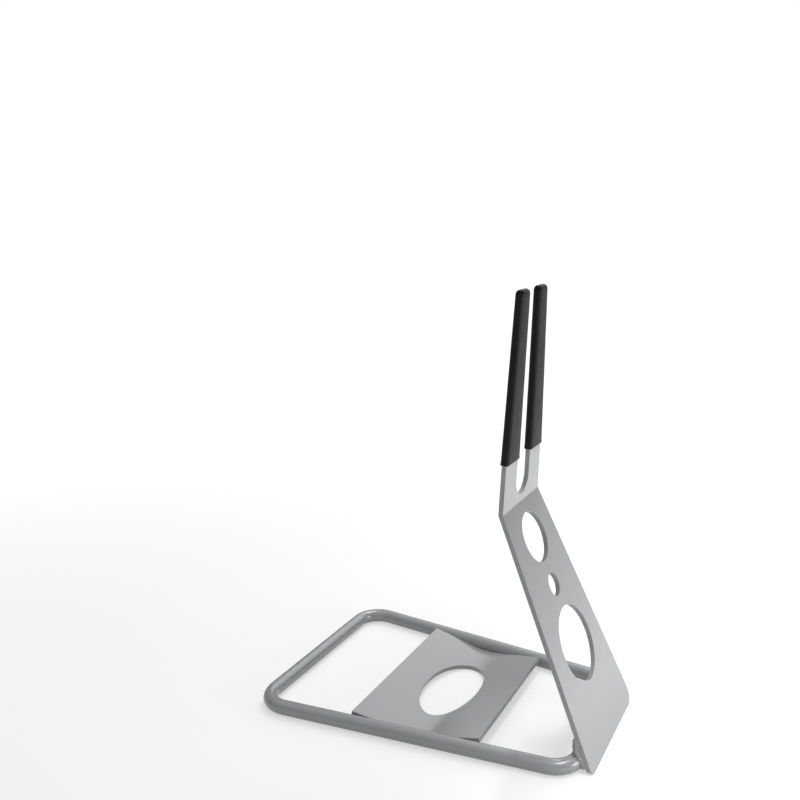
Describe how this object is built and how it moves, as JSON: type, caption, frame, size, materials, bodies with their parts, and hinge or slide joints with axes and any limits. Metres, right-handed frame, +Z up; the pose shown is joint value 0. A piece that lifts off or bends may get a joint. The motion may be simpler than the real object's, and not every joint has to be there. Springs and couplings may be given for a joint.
{
  "type": "bicycle floor rack",
  "caption": "Steel floor rack for a bicycle's rear wheel: a bent tube loop with a trough-shaped cross plate, and a leaning plate that ends in a fork with rubber sleeves.",
  "frame": {"origin": "on the floor, under the middle of the whole rack", "axes": "+Z up; +X from the loop's free end to the upright plate's foot, along the wheel's axle; +Y across the rack, along the wheel"},
  "size_m": [0.2996, 0.2108, 0.3747],
  "materials": {
    "painted_steel": "silver-grey powder coat, satin",
    "painted_plate": "silver-grey powder coat, satin",
    "painted_weld": "silver-grey powder coat over rippled weld metal",
    "black_rubber": "black, smooth, slightly glossy"
  },
  "bodies": {
    "root": {"base_loop": "painted_steel", "loop_seam_weld": "painted_weld", "cross_plate": "painted_plate", "upright_plate": "painted_plate", "cross_weld_near_free": "painted_weld", "cross_weld_near_foot": "painted_weld", "cross_weld_far_free": "painted_weld", "cross_weld_far_foot": "painted_weld", "upright_weld_near": "painted_weld", "upright_weld_far": "painted_weld", "upright_weld_inner": "painted_weld", "prong_sleeve_near": "black_rubber", "prong_sleeve_far": "black_rubber"}
  },
  "joints": []
}
